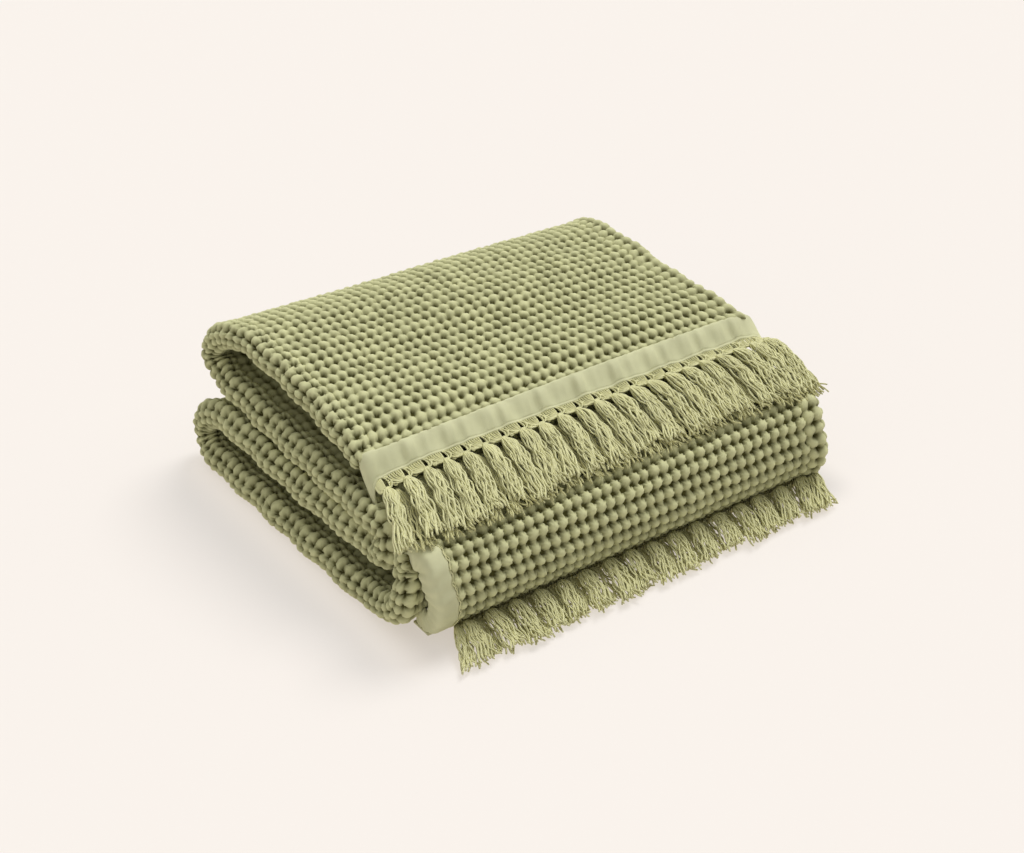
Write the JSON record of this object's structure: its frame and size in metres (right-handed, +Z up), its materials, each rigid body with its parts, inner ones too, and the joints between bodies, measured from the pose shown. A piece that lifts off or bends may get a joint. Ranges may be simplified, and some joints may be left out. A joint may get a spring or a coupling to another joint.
{
  "type": "folded waffle weave throw blanket",
  "caption": "Chunky waffle weave cotton throw, folded back and forth, with a plain heading, a bound edge and tassel fringes on both ends.",
  "frame": {"origin": "centre of the bounding box at the surface that the throw lies on", "axes": "+X runs along the folds, -Y is the front with the fringes, +Z is up"},
  "size_m": [0.4513, 0.4094, 0.1541],
  "materials": {
    "cotton_weave": "matt, chunky waffle weave",
    "cotton_heading": "matt, plain weave",
    "cotton_binding": "matt, plain weave",
    "cotton_heading_below": "matt, plain weave",
    "cotton_yarn": "matt, twisted yarn",
    "cotton_yarn_below": "matt, twisted yarn"
  },
  "bodies": {
    "root": {"cloth": "cotton_weave", "top_heading": "cotton_heading", "side_binding": "cotton_binding", "bottom_heading": "cotton_heading_below", "top_fringe": "cotton_yarn", "bottom_fringe": "cotton_yarn_below"}
  },
  "joints": []
}
